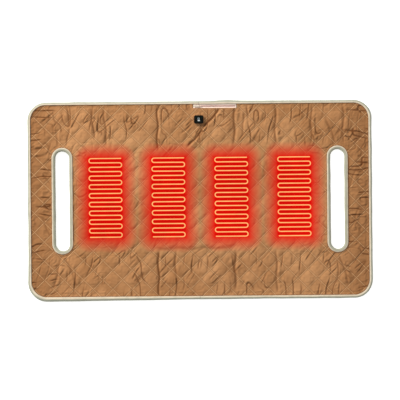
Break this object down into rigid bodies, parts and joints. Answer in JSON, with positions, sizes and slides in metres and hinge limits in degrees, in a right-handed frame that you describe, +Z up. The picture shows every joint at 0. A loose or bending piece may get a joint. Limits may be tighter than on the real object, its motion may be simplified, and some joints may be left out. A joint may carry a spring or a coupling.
{
  "type": "heated quilted blanket",
  "caption": "Quilted infrared heating blanket with serpentine heaters, bound hand slots, a push-button controller and a zipped pocket; it folds in three.",
  "frame": {"origin": "on the floor under the middle of the blanket, lying flat with its front cover up", "axes": "+X along the length towards the right-hand slot, +Y towards the edge with the controller and the pocket, +Z up out of the front cover"},
  "size_m": [1.4, 0.805, 0.0228],
  "materials": {
    "cover_fabric": "satin-woven brown nylon, diamond quilted",
    "back_fabric": "plain brown nylon, diamond quilted",
    "binding_tape": "matt folded grey-cream tape, edge stitched",
    "wadding": "soft white polyester wadding",
    "reflective_film": "metallised film, crinkled",
    "heater_pad": "pressed non-woven felt",
    "heating_wire": "insulated heating wire, glowing when on",
    "thermostat": "moulded thermal cut-out",
    "lead": "flat insulated lead",
    "inlet_metal": "pressed steel socket shell",
    "pocket_lining": "thin plain-woven lining",
    "zip_tape": "woven zip tape",
    "zip_coil": "nylon coil",
    "zip_metal": "lacquered zinc casting",
    "controller_plastic": "fine-grained black plastic",
    "seal": "soft silicone gasket",
    "circuit_board": "green solder mask",
    "switch_metal": "pressed switch can",
    "led_lens": "clear epoxy lamp",
    "button_lens": null,
    "screw_steel": "plated steel screw"
  },
  "bodies": {
    "centre_panel": {"centre_back_cover": "back_fabric", "centre_back_wadding": "wadding", "centre_reflective_film": "reflective_film", "centre_front_wadding": "wadding", "centre_front_cover": "cover_fabric", "top_edge_binding": "binding_tape", "bottom_edge_binding": "binding_tape", "heater_pad_2": "heater_pad", "heater_pad_3": "heater_pad", "heating_wire_2": "heating_wire", "heating_wire_3": "heating_wire", "thermostat_2": "thermostat", "thermostat_3": "thermostat", "centre_harness": "lead", "inlet_lead": "lead", "inlet_socket": "inlet_metal", "pocket_lining": "pocket_lining", "zip_tape_lower": "zip_tape", "zip_tape_upper": "zip_tape", "zip_coil_lower": "zip_coil", "zip_coil_upper": "zip_coil", "zip_stop_left": "zip_metal", "zip_stop_right": "zip_metal", "controller_backplate": "controller_plastic", "controller_base": "controller_plastic", "controller_seal": "seal", "controller_housing": "controller_plastic", "circuit_board": "circuit_board", "push_switch": "switch_metal", "indicator_led": "led_lens", "controller_screw_1": "screw_steel", "controller_screw_2": "screw_steel", "controller_screw_3": "screw_steel", "controller_screw_4": "screw_steel"},
    "left_wing": {"left_back_cover": "back_fabric", "left_back_wadding": "wadding", "left_reflective_film": "reflective_film", "left_front_wadding": "wadding", "left_front_cover": "cover_fabric", "left_edge_binding": "binding_tape", "left_slot_binding": "binding_tape", "heater_pad_1": "heater_pad", "heating_wire_1": "heating_wire", "thermostat_1": "thermostat", "left_harness": "lead"},
    "right_wing": {"right_back_cover": "back_fabric", "right_back_wadding": "wadding", "right_reflective_film": "reflective_film", "right_front_wadding": "wadding", "right_front_cover": "cover_fabric", "right_edge_binding": "binding_tape", "right_slot_binding": "binding_tape", "heater_pad_4": "heater_pad", "heating_wire_4": "heating_wire", "thermostat_4": "thermostat", "right_harness": "lead"},
    "button": {"button_cap": "controller_plastic", "button_lens": "button_lens"},
    "zip_slider": {"zip_slider": "zip_metal"},
    "zip_pull": {"zip_pull": "zip_metal"}
  },
  "joints": [
    {"name": "left_fold", "type": "hinge", "parent": "centre_panel", "child": "left_wing", "pos_m": [-0.256, 0, 0.019], "axis": [0, 1, 0], "range_deg": [0, 179.5]},
    {"name": "right_fold", "type": "hinge", "parent": "centre_panel", "child": "right_wing", "pos_m": [0.256, 0, 0.0305], "axis": [0, -1, 0], "range_deg": [0, 179.5]},
    {"name": "button_press", "type": "slide", "parent": "centre_panel", "child": "button", "axis": [0, 0, -1], "range_m": [0, 0.0006], "stiffness_N_per_m": 900, "springref_m": -0.0006},
    {"name": "zip_slide", "type": "slide", "parent": "centre_panel", "child": "zip_slider", "axis": [1, 0, 0], "range_m": [0, 0.158]},
    {"name": "zip_pull_flip", "type": "hinge", "parent": "zip_slider", "child": "zip_pull", "pos_m": [-0.0155, 0.382, 0.0155], "axis": [0, -1, 0], "range_deg": [0, 170]}
  ]
}
